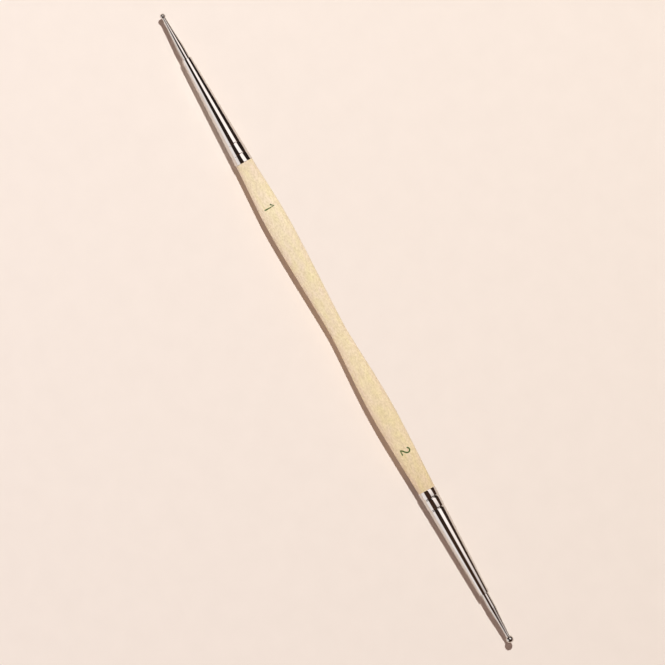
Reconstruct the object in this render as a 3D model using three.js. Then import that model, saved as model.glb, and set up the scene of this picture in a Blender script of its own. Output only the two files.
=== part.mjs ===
// Nail dotting tool: a slim wooden handle with a steel ball tip at each end.
//
// The handle is turned from birch, with a swell either side of a narrow waist and a tenon at each
// end. A drawn, tapered metal ferrule is pushed over each tenon and held by two rolled crimps that
// press into the wood. Resin inside the ferrule grips the root of a steel shank, which tapers to a
// neck with a small ball welded to it. The ball at end 1 is smaller than the ball at end 2.
//
// Sizes are in millimetres. The tool lies along X on the plane z = 0, with end 1 towards -X, and
// the origin is on that plane below the middle of its length.

import * as THREE from 'three';

// Handle
const HANDLE_LENGTH = 93.9; // wood that shows between the two ferrules
const HANDLE_END_DIAMETER = 4.48;
const HANDLE_END_SLOPE = 0.042; // rise of the radius per millimetre, going in from each end
const SWELL_DIAMETER = 6;
const SWELL_LAND = 2; // short cylinder at the crown of each swell, which the tool rests on
const SWELL_1_FROM_END = 17.4;
const SWELL_2_FROM_END = 22.9;
const WAIST_DIAMETER = 4.18;
const WAIST_FROM_END_1 = 48.1;

// How far each curve of the handle keeps its direction, as a share of the stretch that it spans
const END_PULL = 0.33;
const SWELL_PULL_TO_END = 0.2;
const SWELL_PULL_TO_WAIST = 0.32;
const WAIST_PULL = 0.2;

// Ferrules
const FERRULE_LENGTH = 29.7;
const FERRULE_WALL = 0.25;
const FERRULE_PROUD = 0.12; // step up from the wood to the ferrule's mouth
const NOSE_ROUND = 0.16;
const CRIMP_FROM_MOUTH = 2.25;
const CRIMP_SPACING = 3.05;
const CRIMP_COUNT = 2;
const CRIMP_WIDTH = 0.6;
const CRIMP_DEPTH_1 = 0.04; // the crimps at end 1 are rolled in less deeply
const CRIMP_DEPTH_2 = 0.1;
const BARREL_RISE = 0.015; // bulge of the metal on the mouth's side of each crimp

// Shanks and balls
const SHANK_DIAMETER = 1.95;
const SHANK_ROOT = 13; // length held inside the ferrule
const SHANK_COLLAR_1 = 3.3; // straight length outside the ferrule
const SHANK_COLLAR_2 = 3.9;
const ROOT_CHAMFER = 0.2;
const NECK_DIAMETER = 0.9;
const TAPER_HOLLOW = 0.06; // dip of each taper below a straight line
const REACH_1 = 12.125; // from the ferrule's nose to the middle of the ball
const REACH_2 = 12.95;
const BALL_1_DIAMETER = 1.35;
const BALL_2_DIAMETER = 1.9;

// Fits
const GLUE_GAP = 0.05; // round the tenon, the resin and the root
const NOSE_GAP = 0.04; // between the ferrule's nose and the shank
const RESIN_UNDER_ROOT = 2; // resin between the tenon's end and the root's end
const RESIN_EDGE = 0.15; // the resin stops where the ferrule closes in on it to this thickness
const TENON_CHAMFER = 0.4;

// Fineness of the turned shapes
const SIDES = 24; // flats round every turned piece, one of them facing straight down
const CURVE_STEPS = 5;
const HANDLE_STEPS = 11;
const BALL_STEPS = 6;

// Sizes that follow from the ones above
const mouthRadius = HANDLE_END_DIAMETER / 2 + FERRULE_PROUD;
const noseRadius = SHANK_DIAMETER / 2 + NOSE_GAP + FERRULE_WALL;
const rootEnd = FERRULE_LENGTH - SHANK_ROOT;
const tenonLength = rootEnd - RESIN_UNDER_ROOT;

const birch = new THREE.MeshStandardMaterial({ color: 0xead4ae, roughness: 0.65, metalness: 0 });
const nickel = new THREE.MeshStandardMaterial({ color: 0xd6d0ca, roughness: 0.18, metalness: 1 });
const steel = new THREE.MeshStandardMaterial({ color: 0xc4c1bd, roughness: 0.25, metalness: 1 });
const resin = new THREE.MeshStandardMaterial({ color: 0xc79a52, roughness: 0.35, metalness: 0 });

// A solid of revolution about X. Its profile is a list of Vector2 holding a radius and a distance
// along X, with the outside running towards +X. The flats touch the true round surface.
function turned(name, profile, material) {
  const cornerRatio = 1 / Math.cos(Math.PI / SIDES);
  const corners = profile.map((point) => new THREE.Vector2(point.x * cornerRatio, point.y));
  const geometry = new THREE.LatheGeometry(corners, SIDES, Math.PI / SIDES);
  geometry.rotateZ(-Math.PI / 2);
  const mesh = new THREE.Mesh(geometry, material);
  mesh.name = name;
  return mesh;
}

// Radius of the ferrule's plain cone at a distance from its mouth, moved in by an inset.
function coneRadius(fromMouth, inset) {
  return THREE.MathUtils.lerp(mouthRadius, noseRadius, fromMouth / FERRULE_LENGTH) - inset;
}

// Outline of the ferrule's wall from its mouth to a distance along it, moved in by an inset. The
// metal barrels up to each crimp and dips into it. The outside, the bore and the tenon that the
// crimps press into are all drawn by this one line, so they stay parallel.
function crimpedLine(crimpDepth, inset, length) {
  const line = new THREE.Path();
  line.moveTo(coneRadius(0, inset), 0);
  let from = 0;
  for (let i = 0; i < CRIMP_COUNT; i++) {
    const crimp = CRIMP_FROM_MOUTH + i * CRIMP_SPACING;
    const start = crimp - CRIMP_WIDTH / 2;
    const end = crimp + CRIMP_WIDTH / 2;
    const ease = CRIMP_WIDTH / 4;
    const crown = (from + start) / 2;
    const crownRadius = coneRadius(crown, inset) + 2 * BARREL_RISE;
    const startRadius = coneRadius(start, inset);
    const bottomRadius = coneRadius(crimp, inset) - crimpDepth;
    const endRadius = coneRadius(end, inset);
    line.quadraticCurveTo(crownRadius, crown, startRadius, start);
    line.bezierCurveTo(startRadius, start + ease, bottomRadius, crimp - ease, bottomRadius, crimp);
    line.bezierCurveTo(bottomRadius, crimp + ease, endRadius, end - ease, endRadius, end);
    from = end;
  }
  line.lineTo(coneRadius(length, inset), length);
  return line.getPoints(CURVE_STEPS);
}

// Outline of the wood that shows, from the shoulder at end 1 to the shoulder at end 2.
function handleLine() {
  const endRadius = HANDLE_END_DIAMETER / 2;
  const swellRadius = SWELL_DIAMETER / 2;
  const waistRadius = WAIST_DIAMETER / 2;
  const swell1 = SWELL_1_FROM_END;
  const swell2 = HANDLE_LENGTH - SWELL_2_FROM_END;
  const waist = WAIST_FROM_END_1;
  const halfLand = SWELL_LAND / 2;

  // A curve from a point to a point, leaving and arriving along the handle except at its ends.
  const line = new THREE.Path();
  function curveTo(from, to, fromPull, toPull, fromSlope, toSlope) {
    const span = to.y - from.y;
    const leave = fromPull * span;
    const arrive = toPull * span;
    line.bezierCurveTo(
      from.x + fromSlope * leave, from.y + leave,
      to.x - toSlope * arrive, to.y - arrive,
      to.x, to.y,
    );
  }

  const shoulder1 = new THREE.Vector2(endRadius, 0);
  const swell1In = new THREE.Vector2(swellRadius, swell1 - halfLand);
  const swell1Out = new THREE.Vector2(swellRadius, swell1 + halfLand);
  const waistPoint = new THREE.Vector2(waistRadius, waist);
  const swell2In = new THREE.Vector2(swellRadius, swell2 - halfLand);
  const swell2Out = new THREE.Vector2(swellRadius, swell2 + halfLand);
  const shoulder2 = new THREE.Vector2(endRadius, HANDLE_LENGTH);

  line.moveTo(shoulder1.x, shoulder1.y);
  curveTo(shoulder1, swell1In, END_PULL, SWELL_PULL_TO_END, HANDLE_END_SLOPE, 0);
  line.lineTo(swell1Out.x, swell1Out.y);
  curveTo(swell1Out, waistPoint, SWELL_PULL_TO_WAIST, WAIST_PULL, 0, 0);
  curveTo(waistPoint, swell2In, WAIST_PULL, SWELL_PULL_TO_WAIST, 0, 0);
  line.lineTo(swell2Out.x, swell2Out.y);
  curveTo(swell2Out, shoulder2, SWELL_PULL_TO_END, END_PULL, 0, -HANDLE_END_SLOPE);
  return line.getPoints(HANDLE_STEPS);
}

// Handle: the wood that shows, with a tenon at each end that fits its ferrule's crimped bore.
function makeHandle() {
  const inset = FERRULE_WALL + GLUE_GAP;
  function tenonLine(crimpDepth) {
    return [
      ...crimpedLine(crimpDepth, inset, tenonLength - TENON_CHAMFER),
      new THREE.Vector2(coneRadius(tenonLength, inset) - TENON_CHAMFER, tenonLength),
      new THREE.Vector2(0, tenonLength),
    ];
  }
  const tenon1 = tenonLine(CRIMP_DEPTH_1).map((point) => new THREE.Vector2(point.x, -point.y)).reverse();
  const tenon2 = tenonLine(CRIMP_DEPTH_2).map((point) => new THREE.Vector2(point.x, HANDLE_LENGTH + point.y));
  return turned('handle', [...tenon1, ...handleLine(), ...tenon2], birch);
}

// Ferrule: a drawn cone with one wall thickness throughout, open at both ends. Its mouth seats on
// the handle's shoulder, and its nose closes round the shank with a rounded outer edge.
function makeFerrule(name, crimpDepth) {
  const outside = crimpedLine(crimpDepth, 0, FERRULE_LENGTH - NOSE_ROUND);
  const edge = new THREE.Path();
  edge.moveTo(outside.at(-1).x, outside.at(-1).y);
  edge.quadraticCurveTo(noseRadius, FERRULE_LENGTH, noseRadius - NOSE_ROUND, FERRULE_LENGTH);
  const bore = crimpedLine(crimpDepth, FERRULE_WALL, FERRULE_LENGTH).reverse();
  return turned(name, [...outside, ...edge.getPoints(CURVE_STEPS).slice(1), ...bore, outside[0]], nickel);
}

// Resin plug: fills the ferrule from the tenon's end, with a blind socket for the shank's root. It
// stops where the narrowing ferrule would thin it to a feather edge.
function makeResinPlug(name) {
  const inset = FERRULE_WALL + GLUE_GAP;
  const socketRadius = SHANK_DIAMETER / 2 + GLUE_GAP;
  const endRadius = socketRadius + RESIN_EDGE;
  const closing = (mouthRadius - inset - endRadius) / (mouthRadius - noseRadius);
  const end = closing * FERRULE_LENGTH;
  const profile = [
    new THREE.Vector2(0, tenonLength),
    new THREE.Vector2(coneRadius(tenonLength, inset), tenonLength),
    new THREE.Vector2(endRadius, end),
    new THREE.Vector2(socketRadius, end),
    new THREE.Vector2(socketRadius, rootEnd),
    new THREE.Vector2(0, rootEnd),
  ];
  return turned(name, profile, resin);
}

// Distance from the ball's middle back to the flat where it is welded to the neck.
function weldSetback(ballDiameter) {
  return Math.sqrt((ballDiameter / 2) ** 2 - (NECK_DIAMETER / 2) ** 2);
}

// Shank: a straight root and collar, then a slightly hollow taper down to the neck.
function makeShank(name, collar, reach, ballDiameter) {
  const radius = SHANK_DIAMETER / 2;
  const neckRadius = NECK_DIAMETER / 2;
  const taperStart = FERRULE_LENGTH + collar;
  const tip = FERRULE_LENGTH + reach - weldSetback(ballDiameter);
  const middle = (taperStart + tip) / 2;
  const taper = new THREE.Path();
  taper.moveTo(radius, taperStart);
  taper.quadraticCurveTo((radius + neckRadius) / 2 - 2 * TAPER_HOLLOW, middle, neckRadius, tip);
  const profile = [
    new THREE.Vector2(0, rootEnd),
    new THREE.Vector2(radius - ROOT_CHAMFER, rootEnd),
    new THREE.Vector2(radius, rootEnd + ROOT_CHAMFER),
    ...taper.getPoints(CURVE_STEPS),
    new THREE.Vector2(0, tip),
  ];
  return turned(name, profile, steel);
}

// Ball: a sphere ground flat where the neck meets it.
function makeBall(name, reach, ballDiameter) {
  const middle = FERRULE_LENGTH + reach;
  const weld = weldSetback(ballDiameter);
  const line = new THREE.Path();
  line.moveTo(0, middle - weld);
  line.lineTo(NECK_DIAMETER / 2, middle - weld);
  line.absarc(0, middle, ballDiameter / 2, Math.atan2(-weld, NECK_DIAMETER / 2), Math.PI / 2, false);
  return turned(name, line.getPoints(BALL_STEPS), steel);
}

// Everything at one end of the handle, with the ferrule's mouth at the group's origin and the ball
// towards its +X.
function makeEnd(number, crimpDepth, collar, reach, ballDiameter) {
  const end = new THREE.Group();
  end.add(makeFerrule(`ferrule_${number}`, crimpDepth));
  end.add(makeResinPlug(`resin_plug_${number}`));
  end.add(makeShank(`shank_${number}`, collar, reach, ballDiameter));
  end.add(makeBall(`ball_${number}`, reach, ballDiameter));
  return end;
}

const end1 = makeEnd(1, CRIMP_DEPTH_1, SHANK_COLLAR_1, REACH_1, BALL_1_DIAMETER);
end1.rotation.y = Math.PI;
const end2 = makeEnd(2, CRIMP_DEPTH_2, SHANK_COLLAR_2, REACH_2, BALL_2_DIAMETER);
end2.position.x = HANDLE_LENGTH;

// The tool's axis lies one swell radius above the surface, and its length is centred on x = 0.
const beyondEnd1 = FERRULE_LENGTH + REACH_1 + BALL_1_DIAMETER / 2;
const beyondEnd2 = FERRULE_LENGTH + REACH_2 + BALL_2_DIAMETER / 2;
const tool = new THREE.Group();
tool.add(makeHandle(), end1, end2);
tool.position.set((beyondEnd1 - beyondEnd2 - HANDLE_LENGTH) / 2, 0, SWELL_DIAMETER / 2);

const part = new THREE.Group();
part.add(tool);

export default part;
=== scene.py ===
# %% [markdown]
# # A nail dotting tool
# A dotting tool picks up a drop of varnish on a small steel ball and sets it down as a round dot.
# This one has a slim birch handle with a ball of a different size at each end.
# The CAD model already fixes every size, so it is loaded first and stays where it is.
# The pieces made here repeat its shapes round the same axis, smooth where the CAD model has flats.
# The printed numbers, the finishes and the light come after them.

import math

import bmesh
import bpy
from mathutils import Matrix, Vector
from mathutils.bvhtree import BVHTree
from mathutils.geometry import interpolate_bezier


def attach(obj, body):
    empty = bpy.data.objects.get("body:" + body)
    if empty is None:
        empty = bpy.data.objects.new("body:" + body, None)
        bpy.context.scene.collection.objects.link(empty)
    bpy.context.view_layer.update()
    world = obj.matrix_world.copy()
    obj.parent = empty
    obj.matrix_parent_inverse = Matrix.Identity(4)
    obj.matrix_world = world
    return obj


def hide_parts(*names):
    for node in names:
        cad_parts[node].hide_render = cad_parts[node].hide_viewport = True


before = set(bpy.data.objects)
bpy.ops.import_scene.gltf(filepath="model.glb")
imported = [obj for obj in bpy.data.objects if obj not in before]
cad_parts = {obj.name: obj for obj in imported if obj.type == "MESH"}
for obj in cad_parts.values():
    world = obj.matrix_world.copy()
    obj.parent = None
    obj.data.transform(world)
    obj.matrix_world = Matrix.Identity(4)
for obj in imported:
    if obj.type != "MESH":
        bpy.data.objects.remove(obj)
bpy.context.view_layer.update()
print("CAD nodes:", sorted(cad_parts))

# %% [markdown]
# The whole tool is turned work: every piece is round about one long axis, so a piece is known
# once its outline is known, as a radius at each distance along the tool.
# A turner would draw those outlines on paper in millimetres, and so does this script.
# Blender works in metres here, so lengths are multiplied by MM only when they are used there.
# The tool lies along X. End 1, with the smaller ball, points towards -X, and end 2 towards +X.

# %% Sizes of the turned work, in millimetres
MM = 0.001

HANDLE_LENGTH = 93.9          # wood that shows between the two ferrules
HANDLE_END_RADIUS = 2.24
HANDLE_END_SLOPE = 0.042      # rise of the radius per millimetre, going in from each end
SWELL_RADIUS = 3.0
SWELL_LAND = 2.0              # short straight stretch on the crown of each swell
SWELL_1_FROM_END = 17.4
SWELL_2_FROM_END = 22.9
WAIST_RADIUS = 2.09
WAIST_FROM_END_1 = 48.1

FERRULE_LENGTH = 29.7
FERRULE_WALL = 0.25
FERRULE_PROUD = 0.12          # step up from the wood to the ferrule's mouth
SHANK_RADIUS = 0.975
NOSE_GAP = 0.04
NECK_RADIUS = 0.45
REACH = {1: 12.125, 2: 12.95}  # from each ferrule's nose to the middle of its ball
COLLAR = {1: 3.3, 2: 3.9}     # straight length of each shank outside its ferrule
BALL_RADIUS = {1: 0.675, 2: 0.95}

AXIS_HEIGHT = SWELL_RADIUS    # the two swells rest on the table

# from each ferrule's mouth to the outermost point of its ball
BEYOND = {end: FERRULE_LENGTH + REACH[end] + BALL_RADIUS[end] for end in (1, 2)}

# where the ferrules' mouths lie, with the middle of the whole tool at zero
MOUTH = {1: (BEYOND[1] - BEYOND[2] - HANDLE_LENGTH) / 2}
MOUTH[2] = MOUTH[1] + HANDLE_LENGTH
print("mouths of the ferrules at x =", MOUTH, "mm, overall length",
      round(HANDLE_LENGTH + BEYOND[1] + BEYOND[2], 2), "mm")

# %% [markdown]
# An outline is a list of points (distance along the tool, radius).
# Its soft curves are Bezier curves, the same kind as in the pen tool of a drawing program:
# two end points, and two handles that say in which direction the curve leaves and arrives.
# Blender's own interpolate_bezier walks along such a curve, so no formula is needed here.
# A simple bend has one corner, which both handles point at. They reach two thirds of the way to
# it, and the middle of the curve then comes half as far out as the corner.

# %% Draw soft curves
def point(along, out):
    """A point of a drawing, so far along the tool and so far out from its middle line."""
    return Vector((along, out, 0.0))


def soft(start, leave, arrive, end, steps):
    """Points of a Bezier curve after its start, with its two handles between the ends."""
    return interpolate_bezier(start, leave, arrive, end, steps + 1)[1:]


def bend(start, corner, end, steps=12):
    """Points of the simple bend that leaves towards a corner and arrives from it."""
    leave = start.lerp(corner, 2 / 3)
    arrive = end.lerp(corner, 2 / 3)
    return soft(start, leave, arrive, end, steps)


halfway = bend(point(0, 1), point(1, 1), point(1, 0), steps=2)[0]
print("a bend round the corner (1, 1) has its middle at", tuple(halfway.xy))

# %% [markdown]
# To turn an outline into a solid, bmesh spins it once round the axis, as a lathe would.
# Blender's Screw modifier could do that too, but bmesh can bevel the new edges straight away.
# The last copy of the outline is welded to the first, points on the axis fall together and are
# merged, and the normals are recalculated so that every face looks outwards.
# Pieces of end 1 point the other way from those of end 2, so their outline is mirrored.
# Smooth shading hides the facets, except where two surfaces meet at a real corner.

# %% Turn an outline into a solid
SPIN_STEPS = 96
MERGE = 1e-7                  # metres
CORNER = math.radians(35)     # sharper than this is a real corner


def turned(name, outline, ring=False):
    """Spins an outline round the tool's axis. A ring's outline closes on itself off the axis."""
    bm = bmesh.new()
    points = [bm.verts.new((p.x * MM, 0.0, p.y * MM)) for p in outline]
    edges = [bm.edges.new(pair) for pair in zip(points, points[1:])]
    if ring:
        edges.append(bm.edges.new((points[-1], points[0])))
    bmesh.ops.spin(bm, geom=points + edges, cent=(0, 0, 0), axis=(1, 0, 0), dvec=(0, 0, 0),
                   angle=math.tau, steps=SPIN_STEPS, use_merge=True, use_normal_flip=False,
                   use_duplicate=False)
    bmesh.ops.remove_doubles(bm, verts=bm.verts, dist=MERGE)
    bmesh.ops.recalc_face_normals(bm, faces=bm.faces)
    bmesh.ops.translate(bm, verts=bm.verts, vec=(0, 0, AXIS_HEIGHT * MM))
    mesh = bpy.data.meshes.new(name)
    bm.to_mesh(mesh)
    bm.free()
    mesh.shade_smooth()
    mesh.set_sharp_from_angle(angle=CORNER)
    piece = bpy.data.objects.new(name, mesh)
    bpy.context.scene.collection.objects.link(piece)
    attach(piece, "root")
    print(f"{name}: {len(mesh.polygons)} faces")
    return piece


def from_mouth(end, outline):
    """Moves an outline measured outwards from a ferrule's mouth to its place on the tool."""
    outwards = {1: -1, 2: 1}[end]
    return [point(MOUTH[end] + outwards * p.x, p.y) for p in outline]


# %% [markdown]
# ## The ferrules
# A ferrule is the metal sleeve that joins the wood to the steel. It is drawn from thin tube, so
# its wall has the same thickness everywhere, and it narrows evenly from mouth to nose.
# Near the mouth two narrow rollers have each pressed a groove into it, which bites into the wood.
# Up to each groove the metal swells a little, like a barrel.
# Solidify could thicken a single surface, but the wood inside has to follow the grooves as well.
# So one function draws that line at any depth below the outside. The outside and the bore are then
# always parallel, and so is the wooden tenon inside the bore.

# %% Draw the crimped line
CRIMP_FROM_MOUTH = 2.25
CRIMP_SPACING = 3.05
CRIMP_WIDTH = 0.6
CRIMP_DEPTH = {1: 0.04, 2: 0.1}
CRIMP_STEPS = 8               # points on each side of a groove
BARREL_RISE = 0.015

MOUTH_RADIUS = HANDLE_END_RADIUS + FERRULE_PROUD
NOSE_RADIUS = SHANK_RADIUS + NOSE_GAP + FERRULE_WALL


def cone(along, depth):
    """A point on the ferrule's plain cone, at a depth below its outside."""
    share = along / FERRULE_LENGTH
    return point(along, MOUTH_RADIUS + share * (NOSE_RADIUS - MOUTH_RADIUS) - depth)


def crimped_line(end, depth, length):
    """The ferrule's line from its mouth over a length, at a depth below its outside."""
    line = [cone(0, depth)]
    for crimp in (CRIMP_FROM_MOUTH, CRIMP_FROM_MOUTH + CRIMP_SPACING):
        start = cone(crimp - CRIMP_WIDTH / 2, depth)
        stop = cone(crimp + CRIMP_WIDTH / 2, depth)
        bottom = cone(crimp, depth + CRIMP_DEPTH[end])
        ease = point(CRIMP_WIDTH / 4, 0)
        crown = cone((line[-1].x + start.x) / 2, depth - 2 * BARREL_RISE)
        line += bend(line[-1], crown, start)
        line += soft(start, start + ease, bottom - ease, bottom, CRIMP_STEPS)
        line += soft(bottom, bottom + ease, stop - ease, stop, CRIMP_STEPS)
    return line + [cone(length, depth)]


print("points on a crimped line:", len(crimped_line(2, 0, FERRULE_LENGTH)))

# %% [markdown]
# The ferrule's outline runs out along the outside, round the nose and back along the bore.
# Real drawn metal has no knife edges. The nose is closed down round the shank with a soft edge,
# and the mouth has a fine deburred edge, which bmesh's bevel makes on its sharp outer ring.

# %% Make the ferrules
NOSE_ROUND = 0.16
NOSE_STEPS = 6
MOUTH_BREAK = 0.03            # how far the deburred edge reaches over each face
NEAR = 10 * MERGE             # metres; a point this near to the ring lies on it


def soften_edge(piece, ring, reach):
    """Bevels the sharp edge that circles the axis at a place given as (distance, radius)."""
    bm = bmesh.new()
    bm.from_mesh(piece.data)

    def on_ring(vertex):
        radius = math.hypot(vertex.co.y, vertex.co.z - AXIS_HEIGHT * MM)
        return abs(vertex.co.x - ring.x * MM) < NEAR and abs(radius - ring.y * MM) < NEAR

    edges = [edge for edge in bm.edges if all(on_ring(vertex) for vertex in edge.verts)]
    bmesh.ops.bevel(bm, geom=edges, offset=reach * MM, offset_type="OFFSET", affect="EDGES",
                    segments=3, profile=0.5, material=-1, clamp_overlap=True)
    bm.to_mesh(piece.data)
    bm.free()
    piece.data.shade_smooth()
    piece.data.set_sharp_from_angle(angle=CORNER)
    print(f"{piece.name}: {len(edges)} edges softened by {reach} mm")


def make_ferrule(end):
    outside = crimped_line(end, 0, FERRULE_LENGTH - NOSE_ROUND)
    corner = point(FERRULE_LENGTH, NOSE_RADIUS)
    inner = point(FERRULE_LENGTH, NOSE_RADIUS - NOSE_ROUND)
    nose = bend(outside[-1], corner, inner, NOSE_STEPS)
    bore = crimped_line(end, FERRULE_WALL, FERRULE_LENGTH)[::-1]
    piece = turned(f"ferrule_{end}_plated", from_mouth(end, outside + nose + bore), ring=True)
    [mouth_edge] = from_mouth(end, outside[:1])
    soften_edge(piece, mouth_edge, MOUTH_BREAK)
    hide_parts(f"ferrule_{end}")
    return piece


ferrules = [make_ferrule(end) for end in (1, 2)]

# %% [markdown]
# ## The handle
# The handle is one turned rod of birch. From each ferrule it swells to 6 mm, where the fingers
# hold it, and between the two swells it draws in to a slim waist. The two halves are not alike:
# the swell near end 2 sits further from its ferrule.
# A tenon at each end fills half of the ferrule and follows its grooves, with a thin film of glue
# between.
# The outline could be traced by hand in the viewport. Here each stretch is one Bezier curve,
# because then the swells and the waist stay smooth through and through.

# %% Make the handle
END_PULL = 0.33               # how far each curve keeps its direction, as a share of its stretch
SWELL_PULL_TO_END = 0.2
SWELL_PULL_TO_WAIST = 0.32
WAIST_PULL = 0.2
STRETCH_STEPS = 32
GLUE_GAP = 0.05
TENON_LENGTH = 14.7
TENON_CHAMFER = 0.4


def stretch(start, end, start_pull, end_pull, start_slope=0.0, end_slope=0.0):
    """One curve of the handle's outline, level at both ends unless a slope is given."""
    span = end.x - start.x
    leave = start + start_pull * span * point(1, start_slope)
    arrive = end - end_pull * span * point(1, end_slope)
    return soft(start, leave, arrive, end, STRETCH_STEPS)


def tenon(end):
    """The outline of the tenon, from the ferrule's mouth inwards to the middle of its end."""
    depth = FERRULE_WALL + GLUE_GAP
    outline = crimped_line(end, depth, TENON_LENGTH - TENON_CHAMFER)
    outline += [cone(TENON_LENGTH, depth + TENON_CHAMFER), point(TENON_LENGTH, 0)]
    return from_mouth(end, outline)


shoulder_1 = point(MOUTH[1], HANDLE_END_RADIUS)
crown_1 = point(MOUTH[1] + SWELL_1_FROM_END, SWELL_RADIUS)
waist = point(MOUTH[1] + WAIST_FROM_END_1, WAIST_RADIUS)
crown_2 = point(MOUTH[2] - SWELL_2_FROM_END, SWELL_RADIUS)
shoulder_2 = point(MOUTH[2], HANDLE_END_RADIUS)
half_land = point(SWELL_LAND / 2, 0)

shown = [shoulder_1]
shown += stretch(shoulder_1, crown_1 - half_land, END_PULL, SWELL_PULL_TO_END, HANDLE_END_SLOPE)
shown += stretch(crown_1 + half_land, waist, SWELL_PULL_TO_WAIST, WAIST_PULL)
shown += stretch(waist, crown_2 - half_land, WAIST_PULL, SWELL_PULL_TO_WAIST)
shown += stretch(crown_2 + half_land, shoulder_2, SWELL_PULL_TO_END, END_PULL, 0, -HANDLE_END_SLOPE)

handle = turned("handle_turned", tenon(1)[::-1] + shown + tenon(2))
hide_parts("handle")

# %% [markdown]
# ## The shanks and balls
# Each shank is a steel pin. Its root is held inside the ferrule by resin. Outside, a short collar
# stays straight, and then the pin is ground down in a slightly hollow taper to a thin neck.
# The ball is welded to that neck: a sphere with a small flat on it, as wide as the neck.
# bmesh could make a whole sphere in one call, but the flat would still have to be cut from it.
# So the ball is turned as well. Its outline is half a circle that starts at the flat, and bmesh's
# own spin draws that arc too, from a single point.

# %% Make the shanks and balls
SHANK_ROOT = 13.0
ROOT_CHAMFER = 0.2
TAPER_HOLLOW = 0.06           # how far the taper's middle lies below a straight line
TAPER_STEPS = 24
BALL_STEPS = 40


def weld_setback(end):
    """Distance from the ball's middle back to its flat."""
    return math.sqrt(BALL_RADIUS[end] ** 2 - NECK_RADIUS ** 2)


def make_shank(end):
    root = FERRULE_LENGTH - SHANK_ROOT
    taper_start = point(FERRULE_LENGTH + COLLAR[end], SHANK_RADIUS)
    neck = point(FERRULE_LENGTH + REACH[end] - weld_setback(end), NECK_RADIUS)
    hollow = taper_start.lerp(neck, 0.5) - point(0, 2 * TAPER_HOLLOW)
    outline = [point(root, 0), point(root, SHANK_RADIUS - ROOT_CHAMFER),
               point(root + ROOT_CHAMFER, SHANK_RADIUS), taper_start]
    outline += bend(taper_start, hollow, neck, TAPER_STEPS) + [point(neck.x, 0)]
    piece = turned(f"shank_{end}_polished", from_mouth(end, outline))
    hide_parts(f"shank_{end}")
    return piece


def make_ball(end):
    middle = FERRULE_LENGTH + REACH[end]
    flat_angle = math.atan2(NECK_RADIUS, weld_setback(end))
    flat_edge = point(middle - weld_setback(end), NECK_RADIUS)
    bm = bmesh.new()
    start = bm.verts.new(flat_edge)
    bmesh.ops.spin(bm, geom=[start], cent=(middle, 0, 0), axis=(0, 0, -1), dvec=(0, 0, 0),
                   angle=math.pi - flat_angle, steps=BALL_STEPS)
    arc = [point(v.co.x, max(v.co.y, 0)) for v in bm.verts]
    bm.free()
    arc[-1].y = 0             # the outermost point lies on the axis
    piece = turned(f"ball_{end}_polished", from_mouth(end, [point(flat_edge.x, 0)] + arc))
    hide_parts(f"ball_{end}")
    return piece


shanks = [make_shank(end) for end in (1, 2)]
balls = [make_ball(end) for end in (1, 2)]

# %% [markdown]
# ## The printed numbers
# A small 1 and 2 on the handle tell the two ball sizes apart. They are pad printed: a soft rubber
# pad presses a thin film of ink onto the round wood, so the film follows the wood's curve.
# A picture of the number on the wood would do, but real ink has an edge and a thickness.
# Each number is one stroke: a thin rod along a curve, pressed flat, whose points are then let
# fall onto the handle with a ray each, so that the ink lies on the wood.

# %% Print the numbers
STROKE = {1: 0.42, 2: 0.36}   # width of a printed line
INK_THICKNESS = 0.012
NUMBER_CENTRE = {1: -34.55, 2: 35.2}
INK_STEPS = 12
LONG_EDGE = 0.3               # a longer one is cut into 7, so that it can follow the round wood
RAY_HEIGHT = 0.02             # metres, well above the tool
DOWN = Vector((0, 0, -1))


def ink_path(end):
    """The number's one stroke, in millimetres from its centre: +X to the right, +Y upwards."""
    if end == 1:
        return [point(-0.58, 0.50), point(0.12, 1.27), point(0.17, -1.38)]
    start = point(-0.58, 0.78)
    side = point(0.6, 0.5)
    foot = point(-0.6, -1.0)
    hook = soft(start, point(-0.5, 1.45), point(0.68, 1.45), side, INK_STEPS)
    fall = soft(side, point(0.55, -0.05), point(-0.45, -0.4), foot, INK_STEPS)
    return [start] + hook + fall + [point(0.68, -1.02)]


handle_surface = BVHTree.FromObject(handle, bpy.context.evaluated_depsgraph_get())


def print_number(end):
    """Draws the number's stroke as a rod, presses it flat and lays it on the handle."""
    curve = bpy.data.curves.new(f"number_{end}_stroke", "CURVE")
    curve.dimensions = "3D"
    curve.bevel_depth = STROKE[end] * MM / 2
    curve.bevel_resolution = 4
    curve.use_fill_caps = True
    stroke = ink_path(end)
    spline = curve.splines.new("POLY")
    spline.points.add(len(stroke) - 1)
    for spot, place in zip(spline.points, stroke):
        spot.co = ((place + point(NUMBER_CENTRE[end], 0)) * MM).to_4d()
    rod = bpy.data.objects.new("rod", curve)
    mesh = bpy.data.meshes.new_from_object(rod)
    bm = bmesh.new()
    bm.from_mesh(mesh)
    long_edges = [edge for edge in bm.edges if edge.calc_length() > LONG_EDGE * MM]
    bmesh.ops.subdivide_edges(bm, edges=long_edges, cuts=6, use_grid_fill=True)
    flatten = INK_THICKNESS / (STROKE[end] / 2)
    for vertex in bm.verts:
        above = Vector((vertex.co.x, vertex.co.y, RAY_HEIGHT))
        wood = handle_surface.ray_cast(above, DOWN)[0]
        vertex.co.z = wood.z + vertex.co.z * flatten
    bmesh.ops.remove_doubles(bm, verts=bm.verts, dist=MERGE)
    bmesh.ops.recalc_face_normals(bm, faces=bm.faces)
    bm.to_mesh(mesh)
    bm.free()
    bpy.data.objects.remove(rod)
    mesh.shade_smooth()
    piece = bpy.data.objects.new(f"number_{end}_print", mesh)
    bpy.context.scene.collection.objects.link(piece)
    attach(piece, "root")
    print(f"number {end}: {len(mesh.polygons)} faces, at x = {NUMBER_CENTRE[end]} mm")
    return piece


numbers = [print_number(end) for end in (1, 2)]

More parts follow.
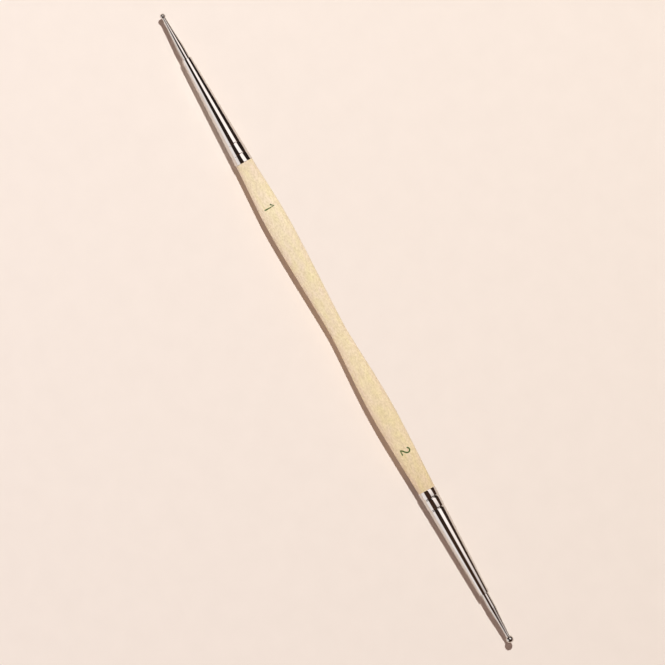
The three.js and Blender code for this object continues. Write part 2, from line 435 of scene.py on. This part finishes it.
# %% [markdown]
# ## Finishes
# Each finish is a small network of shader nodes. One function fills a node's sockets, either with
# values or with links, and another adds a node, sets its options and fills it.
# A node that is given as a value stands for its first output, which keeps the recipes short.
# Colours are written as they look on a screen, and Blender counts light evenly, so every hex
# value passes through one function that undoes the screen's curve.

# %% Colours and nodes
LOW, HIGH = 0.3, 0.7          # nearly all of a noise lies between these


def colour(hex_value):
    """A screen colour such as 0xF2DDB8 as Blender's linear red, green, blue and alpha."""
    def even(channel):
        share = channel / 255
        return share / 12.92 if share <= 0.04045 else ((share + 0.055) / 1.055) ** 2.4
    return tuple(even(hex_value >> shift & 0xFF) for shift in (16, 8, 0)) + (1.0,)


def fill(node, sockets):
    """Fills sockets, by name or number, with values, outputs, or other nodes' first outputs."""
    for socket, value in sockets.items():
        if isinstance(value, bpy.types.Node):
            value = value.outputs[0]
        if isinstance(value, bpy.types.NodeSocket):
            node.id_data.links.new(value, node.inputs[socket])
        else:
            node.inputs[socket].default_value = value
    return node


def add(tree, kind, sockets=None, **options):
    """Adds a node, sets its options and fills its sockets."""
    node = tree.nodes.new("ShaderNode" + kind)
    for option, value in options.items():
        setattr(node, option, value)
    return fill(node, sockets or {})


def paint_ramp(node, stops):
    """Sets a colour ramp's stops from a list of (position, colour)."""
    ramp = node.color_ramp
    while len(ramp.elements) < len(stops):
        ramp.elements.new(1.0)
    for element, (position, shade) in zip(ramp.elements, stops):
        element.position = position
        element.color = shade


def finish_on(name, pieces):
    """A new material on the pieces, with its node tree and the shader that makes its surface."""
    material = bpy.data.materials.new(name)
    material.use_nodes = True
    for piece in pieces:
        piece.data.materials.clear()
        piece.data.materials.append(material)
    print("finish", name, "on", ", ".join(piece.name for piece in pieces))
    return material.node_tree, material.node_tree.nodes["Principled BSDF"]


def pattern_space(tree, grain):
    """Object coordinates divided by a grain size in millimetres along X, Y and Z."""
    where = add(tree, "TexCoord").outputs["Object"]
    scale = tuple(1 / (size * MM) for size in grain)
    return add(tree, "Mapping", {"Vector": where, "Scale": scale})


# %% [markdown]
# ### Bare birch
# The handle is fine sanded birch with no varnish. The eye sees a pale, matte, warm wood, almost
# one tone, with soft streaks of yellow and rosy beige and a fine speckle of pores. Painted shade
# darkens the wood a little towards end 2, where the light falls off, and its last centimetre at
# both ends is a little deeper still.
# Streaks and pores are two noises in Object coordinates, stretched along X because the grain runs
# along the rod. A picture of wood would stretch over the swells and meet itself in a seam. These
# noises fill space, and the turned handle cuts through them as it would through a real plank.

# %% Streak the wood
# painted shade: the wood is painted darker towards end 2, where the light falls off
WOOD_FALLOFF_SPAN = (-45 * MM, 42 * MM)            # from here to there along the tool the wood deepens
WOOD_FALLOFF_SHADE = (0.93, 0.885, 0.81, 1.0)  # what its colour is multiplied by at end 2
NEAR_END = (36 * MM, 46 * MM)          # distance from the middle over which both ends deepen
END_TONE = (0.945, 0.92, 0.915, 1.0)   # what the colour is multiplied by there

tree, shader = finish_on("bare_birch", [handle])
streaks = add(tree, "TexNoise", {"Vector": pattern_space(tree, (4.0, 1.8, 1.8)), "Scale": 1.0,
                                 "Detail": 2.0, "Roughness": 0.5})
wood = add(tree, "ValToRGB", {"Fac": streaks})
paint_ramp(wood, [(LOW, colour(0xF2DCC0)), (HIGH, colour(0xF2E0B4))])
where = add(tree, "TexCoord").outputs["Object"]
along = add(tree, "SeparateXYZ", {"Vector": where}).outputs["X"]
wood_falloff = add(tree, "MapRange", {"Value": along, "From Min": WOOD_FALLOFF_SPAN[0], "From Max": WOOD_FALLOFF_SPAN[1]})
falloff_shaded_wood = add(tree, "MixRGB", {"Fac": wood_falloff, "Color1": wood, "Color2": WOOD_FALLOFF_SHADE},
              blend_type="MULTIPLY")
from_middle = add(tree, "Math", {0: along}, operation="ABSOLUTE")
near_end = add(tree, "MapRange", {"Value": from_middle, "From Min": NEAR_END[0],
                                  "From Max": NEAR_END[1]})
shaded_wood = add(tree, "MixRGB", {"Fac": near_end, "Color1": falloff_shaded_wood, "Color2": END_TONE},
                 blend_type="MULTIPLY")

# %% [markdown]
# Pores in birch are about 0.1 mm wide, finer than a pixel here, so they are drawn 0.42 mm wide.
# The same noise darkens the colour, dries the surface and makes the bump, so that all three agree.
# Fine fibres stand up from sanded wood and catch some light at its edges, which a weak, slightly
# cool sheen stands for.

# %% Open the pores
PORE_DARK = (0.88, 0.86, 0.80, 1.0)    # what the colour is multiplied by in a pore
PORE_PALE = (1.10, 1.12, 1.17, 1.0)    # and between pores

pores = add(tree, "TexNoise", {"Vector": pattern_space(tree, (0.62, 0.42, 0.42)), "Scale": 1.0,
                               "Detail": 2.0, "Roughness": 0.6})
pore_share = add(tree, "MapRange", {"Value": pores, "From Min": LOW, "From Max": HIGH})
pore_tone = add(tree, "MixRGB", {"Fac": pore_share, "Color1": PORE_DARK, "Color2": PORE_PALE})
grain = add(tree, "MixRGB", {"Fac": 1.0, "Color1": shaded_wood, "Color2": pore_tone},
            blend_type="MULTIPLY")
dryness = add(tree, "MapRange", {"Value": pores, "From Min": LOW, "From Max": HIGH,
                                 "To Min": 0.74, "To Max": 0.62})
relief = add(tree, "Bump", {"Height": pores, "Strength": 0.3, "Distance": 0.01 * MM})
fill(shader, {"Base Color": grain, "Roughness": dryness, "Normal": relief, "IOR": 1.5,
              "Diffuse Roughness": 0.05, "Sheen Weight": 0.06, "Sheen Roughness": 0.4,
              "Sheen Tint": colour(0xE8EEFF)})
print("the birch has", len(tree.nodes), "nodes")

# %% [markdown]
# ### Bright nickel plate
# The ferrules are drawn from thin tube and nickel plated. Nickel is a slightly warm, mirror-like
# metal, so what the eye sees in it is mostly the room, drawn out into long stripes.
# Drawing leaves faint lines along the metal, which wrinkle the edges of those stripes a little,
# and handling leaves a thin uneven haze. The shader's anisotropic setting could stand for the
# lines, but it would blur the stripes, and the eye sees them crisp. So the lines are a bump.
# Real drawing lines are a few hundredths of a millimetre wide. Here they are 0.12 mm, half a
# pixel, because finer ones wouldn't show at all.

# %% Finish the ferrules
tree, shader = finish_on("bright_nickel_plate", ferrules)
haze = add(tree, "TexNoise", {"Vector": pattern_space(tree, (5.0, 2.0, 2.0)), "Scale": 1.0,
                              "Detail": 4.0, "Roughness": 0.6})
tint = add(tree, "ValToRGB", {"Fac": haze})
paint_ramp(tint, [(LOW, colour(0xD3CCC5)), (HIGH, colour(0xDCD6D0))])
gloss = add(tree, "MapRange", {"Value": haze, "From Min": LOW, "From Max": HIGH,
                               "To Min": 0.03, "To Max": 0.06})
draw_lines = add(tree, "TexNoise", {"Vector": pattern_space(tree, (9.0, 0.12, 0.12)),
                                    "Scale": 1.0, "Detail": 2.0})
relief = add(tree, "Bump", {"Height": draw_lines, "Strength": 0.15, "Distance": 0.002 * MM})
fill(shader, {"Base Color": tint, "Roughness": gloss, "Normal": relief, "Metallic": 1.0})

# %% [markdown]
# ### Polished steel
# Shanks and balls are stainless steel, ground and then polished. It is a little darker than
# nickel. Grinding goes round the pin, so its finest marks are rings. The eye sees none of them,
# only stripes of the room that are a little soft, so the rings keep a real size of 0.05 mm, finer
# than a pixel. A wave texture could draw them too, but evenly spaced, which grinding never does.

# %% Finish the shanks and balls
tree, shader = finish_on("polished_stainless_steel", shanks + balls)
haze = add(tree, "TexNoise", {"Vector": pattern_space(tree, (0.8, 0.8, 0.8)), "Scale": 1.0,
                              "Detail": 3.0})
tint = add(tree, "ValToRGB", {"Fac": haze})
paint_ramp(tint, [(LOW, colour(0xC6BFB8)), (HIGH, colour(0xD0CAC4))])
gloss = add(tree, "MapRange", {"Value": haze, "From Min": LOW, "From Max": HIGH,
                               "To Min": 0.03, "To Max": 0.06})
rings = add(tree, "TexNoise", {"Vector": pattern_space(tree, (0.05, 2.0, 2.0)), "Scale": 1.0,
                               "Detail": 2.0})
relief = add(tree, "Bump", {"Height": rings, "Strength": 0.1, "Distance": 0.0015 * MM})
fill(shader, {"Base Color": tint, "Roughness": gloss, "Normal": relief, "Metallic": 1.0})

# %% [markdown]
# ### Cured resin
# The resin that grips each shank's root lies inside its ferrule, where nothing shows of it from
# outside. Its CAD node already has the right shape, so it stays and only gets a finish: amber
# epoxy, cloudy with fine bubbles.

# %% Finish the resin
plugs = [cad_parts[f"resin_plug_{end}"] for end in (1, 2)]
tree, shader = finish_on("cured_amber_epoxy", plugs)
clouds = add(tree, "TexNoise", {"Vector": pattern_space(tree, (1.5, 1.5, 1.5)), "Scale": 1.0,
                                "Detail": 4.0})
amber = add(tree, "ValToRGB", {"Fac": clouds})
paint_ramp(amber, [(0.35, colour(0xB98A42)), (0.65, colour(0xCFA45E))])
fill(shader, {"Base Color": amber, "Roughness": 0.3, "IOR": 1.55})

# %% [markdown]
# ### Pad-printing ink
# The numbers are a matte dark green ink. The rubber pad never lays down a perfectly even film, so
# the green is a little paler in places, where the film is thin over the pale wood. A single green
# would look like a sticker, so a noise picks between two.

# %% Finish the numbers
tree, shader = finish_on("green_pad_printing_ink", numbers)
film = add(tree, "TexNoise", {"Vector": pattern_space(tree, (0.35, 0.35, 0.35)), "Scale": 1.0,
                              "Detail": 3.0})
green = add(tree, "ValToRGB", {"Fac": film})
paint_ramp(green, [(0.35, colour(0x3A5122)), (0.7, colour(0x5A743A))])
fill(shader, {"Base Color": green, "Roughness": 0.6, "IOR": 1.5})

# %% [markdown]
# ## The studio
# The tool lies on a sheet of pale peach paper. A plane is enough for it.

# %% Lay the floor
FLOOR_SIZE = 6.0              # metres across, so that low views still end in paper

bm = bmesh.new()
bmesh.ops.create_grid(bm, x_segments=1, y_segments=1, size=FLOOR_SIZE / 2)
floor_mesh = bpy.data.meshes.new("floor")
bm.to_mesh(floor_mesh)
bm.free()
floor = bpy.data.objects.new("floor", floor_mesh)
bpy.context.scene.collection.objects.link(floor)
print("floor:", FLOOR_SIZE, "m across")

# %% [markdown]
# The paper has a hint of tooth in its colour, and painted shade darkens it a little towards the
# right of the picture, where the light falls off. Both are painted in Object coordinates, so they
# stay on the sheet in every view.
# The metal mirrors this paper too. In the photograph the flanks on the +Y side mirror a dark room
# beyond the nearest paper. The Light Path node tells which rays come from a mirror-like surface,
# and for those alone the sheet goes dark a few centimetres from the tool on that side.

# %% Finish the floor
# painted shade: the paper is painted darker towards the right, where the light falls off
RIGHTWARDS = (0.487, 0.873, 0.0)       # to the right of the picture, along the floor
FALLOFF_REACH = 78 * MM               # the change of tone goes from this far left to as far right
PAPER_FALLOFF_SHADE = (0.962, 0.955, 0.940, 1.0)  # what its colour is multiplied by at the right
DARK = colour(0x2E2622)                # a room where no light falls
DARK_BEYOND = (20 * MM, 36 * MM)       # where the mirrored sheet begins to darken, and is dark

tree, shader = finish_on("peach_paper", [floor])
tooth = add(tree, "TexNoise", {"Vector": pattern_space(tree, (6.0, 6.0, 6.0)), "Scale": 1.0,
                               "Detail": 4.0})
paper = add(tree, "ValToRGB", {"Fac": tooth})
paint_ramp(paper, [(LOW, colour(0xF8E8DB)), (HIGH, colour(0xFAEADD))])
place = add(tree, "TexCoord").outputs["Object"]
rightwards = add(tree, "VectorMath", {0: place, 1: RIGHTWARDS}, operation="DOT_PRODUCT")
paper_falloff = add(tree, "MapRange", {"Value": rightwards.outputs["Value"],
                                   "From Min": -FALLOFF_REACH, "From Max": FALLOFF_REACH})
falloff_shaded_paper = add(tree, "MixRGB", {"Fac": paper_falloff, "Color1": paper, "Color2": PAPER_FALLOFF_SHADE},
            blend_type="MULTIPLY")
sideways = add(tree, "SeparateXYZ", {"Vector": place}).outputs["Y"]
far_side = add(tree, "MapRange", {"Value": sideways, "From Min": DARK_BEYOND[0],
                                  "From Max": DARK_BEYOND[1]})
ray = add(tree, "LightPath")
mirrored = add(tree, "Math", {0: ray.outputs["Is Glossy Ray"], 1: far_side}, operation="MULTIPLY")
shown_paper = add(tree, "MixRGB", {"Fac": mirrored, "Color1": falloff_shaded_paper, "Color2": DARK})
fill(shader, {"Base Color": shown_paper, "Roughness": 0.9, "Specular IOR Level": 0.2})

# %% [markdown]
# The shadow is crisp and falls a short way beside the tool, towards -Y, so the key light is small,
# high up, a little to the +Y side and a little towards end 1. A broad low light on the -Y side
# stands for a bright wall: it evens out the wood, casts no shadow and hardly lights the floor.
# A faint glow from the world fills the rest.
# The metal doesn't mirror these lamps. It mirrors a room that is painted further down.

# %% Hang the lamps
def hang_lamp(name, direction, distance, watts, size, shade, shadow=True, at=0.0):
    """An area lamp in a direction from the tool's axis, facing it at so many mm along X."""
    light = bpy.data.lights.new(name, "AREA")
    light.energy = watts
    light.color = shade[:3]
    light.use_shadow = shadow
    light.shape = "RECTANGLE"
    light.size, light.size_y = size
    lamp = bpy.data.objects.new(name, light)
    aim = Vector(direction).normalized()
    lamp.location = Vector((at, 0, AXIS_HEIGHT)) * MM + aim * distance
    lamp.rotation_euler = aim.to_track_quat("Z", "Y").to_euler()
    lamp.visible_glossy = False
    bpy.context.scene.collection.objects.link(lamp)
    print(f"{name}: {watts} W at {tuple(round(c, 4) for c in lamp.location)} m")


hang_lamp("key_light", (-0.61, 0.535, 1.5), 1.71, 28.2, (0.057, 0.057), colour(0xF3FBFF))
hang_lamp("wall_light", (0.0, -0.9986, 0.052), 0.9, 5.1, (1.4, 0.08), colour(0xE8ECFF),
          shadow=False)

# %% [markdown]
# The handle throws some light back onto the paper. Left to itself it makes a bright rim on the
# paper on both sides, and the photograph has none, so that bounce is switched off. The light that
# it should give to the tool's shadow comes from a faint lamp, thin as a thread, on the handle's
# axis. A second one lies on the axis of ferrule 1. Both shine sideways and 30 degrees down, and
# cast no shadow. What shows of the tool faces away from its axis, so these lamps light hardly
# anything but the paper.

# %% Lighten the shadow
AWAY_FROM_SHADOW = (0.0, 0.866, 0.5)   # each lamp sits on this side of the axis and faces it
ON_AXIS = 0.0001                       # metres from the axis
THREAD = 0.0002                        # metres across

handle.visible_diffuse = False
hang_lamp("handle_bounce", AWAY_FROM_SHADOW, ON_AXIS, 0.0004, (0.088, THREAD), colour(0xFFD790),
          shadow=False, at=-3)
hang_lamp("ferrule_bounce", AWAY_FROM_SHADOW, ON_AXIS, 0.00006, (0.03, THREAD), colour(0xF9FFF1),
          shadow=False, at=-62.5)

# %% [markdown]
# Polished metal has hardly a colour of its own, it shows the room. So the world has three faces.
# The camera sees a plain pale backdrop, matte surfaces get a faint even glow, and mirror-like ones
# see a studio: a long white softbox over the tool, dark room round it, and a pale wall low down.
# A picture of a studio could be wrapped round the scene, but a painted one needs no file, and each
# stripe in the metal can be set by itself.
# A direction in the room is two numbers: the angle round the tool's length, measured from straight
# up towards +Y, and how far the direction points along the tool, from -1 to 1.

# %% Open the room
EDGE = math.radians(4)        # angle over which one thing in the room fades into the next

world = bpy.data.worlds.new("studio")
bpy.context.scene.world = world
world.use_nodes = True
tree = world.node_tree
direction = add(tree, "TexCoord").outputs["Generated"]
parts = add(tree, "SeparateXYZ", {"Vector": direction})
along, across, up = (parts.outputs[axis] for axis in "XYZ")
round_tool = add(tree, "Math", {0: across, 1: up}, operation="ARCTAN2")
print("the empty room has", len(tree.nodes), "nodes")

# %% [markdown]
# The room is dark, and a browner dark towards end 2. Low on the -Y side a pale wall stands beside
# the tool, and beyond end 1 the room ends in a grey wall. Each is one colour, laid over the one
# before by a share that rises from 0 to 1 over a small range.

# %% Paint the walls
def brighter(shade, times):
    """The same colour, so many times as bright."""
    return tuple(times * channel for channel in shade[:3]) + (1.0,)


BROWN = colour(0x453228)
GREY = colour(0x7C716B)
PALE = brighter(colour(0xFFFCFE), 1.13)
PALE_WALL_TOP = math.radians(-48.5)
PALE_WALL_ENDS = (0.5, 0.4)   # along, either way: where it is gone, and where it is whole
BROWN_FROM = (-0.05, 0.05)    # along: where the dark begins to turn brown, and is brown
GREY_FROM = (-0.86, -0.93)    # along: where the grey wall begins, and is whole

towards_2 = add(tree, "MapRange", {"Value": along, "From Min": BROWN_FROM[0],
                                   "From Max": BROWN_FROM[1]})
dark = add(tree, "MixRGB", {"Fac": towards_2, "Color1": DARK, "Color2": BROWN})
beyond_1 = add(tree, "MapRange", {"Value": along, "From Min": GREY_FROM[0],
                                  "From Max": GREY_FROM[1]})
unlit = add(tree, "MixRGB", {"Fac": beyond_1, "Color1": dark, "Color2": GREY})
low_down = add(tree, "MapRange", {"Value": round_tool, "From Min": PALE_WALL_TOP + EDGE,
                                  "From Max": PALE_WALL_TOP})
lengthwise = add(tree, "Math", {0: along}, operation="ABSOLUTE")
beside_tool = add(tree, "MapRange", {"Value": lengthwise, "From Min": PALE_WALL_ENDS[0],
                                     "From Max": PALE_WALL_ENDS[1]})
pale_wall = add(tree, "Math", {0: low_down, 1: beside_tool}, operation="MULTIPLY")
walls = add(tree, "MixRGB", {"Fac": pale_wall, "Color1": unlit, "Color2": PALE})
print("with its walls it has", len(tree.nodes))

# %% [markdown]
# The softbox hangs over the tool, more to the +Y side. In the metal of end 2 its stripe lies
# further round than in the metal of end 1, and is weaker. So each long edge of the box moves from
# one angle to another near its middle, and a colour ramp dims the box towards end 2.

# %% Hang the softbox
SOFTBOX = brighter(colour(0xFFF9F9), 1.6)
LEFT_EDGE = (-1, 11)          # degrees round the tool, towards end 1 and towards end 2
RIGHT_EDGE = (43, 58)
EDGE_MOVES = 0.12             # they move while along rises from minus this to plus this
BOX_LEVELS = [(-0.7, 0.0), (-0.6, 1.0), (-0.03, 1.0), (0.07, 0.82), (0.15, 0.5), (0.25, 0.3),
              (0.4, 0.0)]     # along, and how bright the box is there


def inside_edge(angles, side):
    """How far a direction is inside a long edge of the box: 0 on it, and 1 past the fade."""
    edge = add(tree, "MapRange", {"Value": along, "From Min": -EDGE_MOVES, "From Max": EDGE_MOVES,
                                  "To Min": math.radians(angles[0]),
                                  "To Max": math.radians(angles[1])})
    past_edge = add(tree, "Math", {0: round_tool, 1: edge}, operation="SUBTRACT")
    return add(tree, "MapRange", {"Value": past_edge, "From Min": 0.0, "From Max": side * EDGE})


in_box = add(tree, "Math", {0: inside_edge(LEFT_EDGE, 1), 1: inside_edge(RIGHT_EDGE, -1)},
             operation="MULTIPLY")
box_place = add(tree, "MapRange", {"Value": along, "From Min": -1.0, "From Max": 1.0})
box_level = add(tree, "ValToRGB", {"Fac": box_place})
paint_ramp(box_level, [((x + 1) / 2, (level, level, level, 1.0)) for x, level in BOX_LEVELS])
box_share = add(tree, "Math", {0: in_box, 1: box_level}, operation="MULTIPLY")
room = add(tree, "MixRGB", {"Fac": box_share, "Color1": walls, "Color2": SOFTBOX})
print("with the softbox it has", len(tree.nodes))

# %% [markdown]
# The Light Path node tells what kind of ray is asking. Rays from mirror-like surfaces are shown
# the room, rays from the camera the backdrop, and all others the glow.

# %% Show each kind of ray its face of the world
GLOW = colour(0x816F69)
BACKDROP = colour(0xF6E5D8)

ray = add(tree, "LightPath")
glow_or_room = add(tree, "MixRGB", {"Fac": ray.outputs["Is Glossy Ray"], "Color1": GLOW,
                                    "Color2": room})
seen = add(tree, "MixRGB", {"Fac": ray.outputs["Is Camera Ray"], "Color1": glow_or_room,
                            "Color2": BACKDROP})
fill(tree.nodes["Background"], {"Color": seen})
print("the world has", len(tree.nodes), "nodes")

# %% [markdown]
# ## The camera
# The photograph is taken from straight above with the tool lying askew in the frame.
# A very long lens from over four metres away keeps the outline true. The camera is turned rather
# than the tool, because the tool stays in the CAD frame.

# %% Set up the camera
IMAGE_WIDTH = 166.34          # millimetres of the tool's plane across the picture
TURN = 60.87                  # degrees between the picture's lower edge and the tool's length
LOOK_AT = (0.44, -1.38)       # millimetres

camera = bpy.data.objects.new("camera", bpy.data.cameras.new("camera"))
camera.data.lens = 1000
camera.data.sensor_width = 36
distance = IMAGE_WIDTH * camera.data.lens / camera.data.sensor_width
camera.location = Vector((*LOOK_AT, AXIS_HEIGHT + distance)) * MM
camera.rotation_euler = (0, 0, math.radians(TURN))
bpy.context.scene.collection.objects.link(camera)
bpy.context.scene.camera = camera
bpy.context.scene.view_settings.view_transform = "Standard"
print("camera at", tuple(round(c, 4) for c in camera.location), "m")
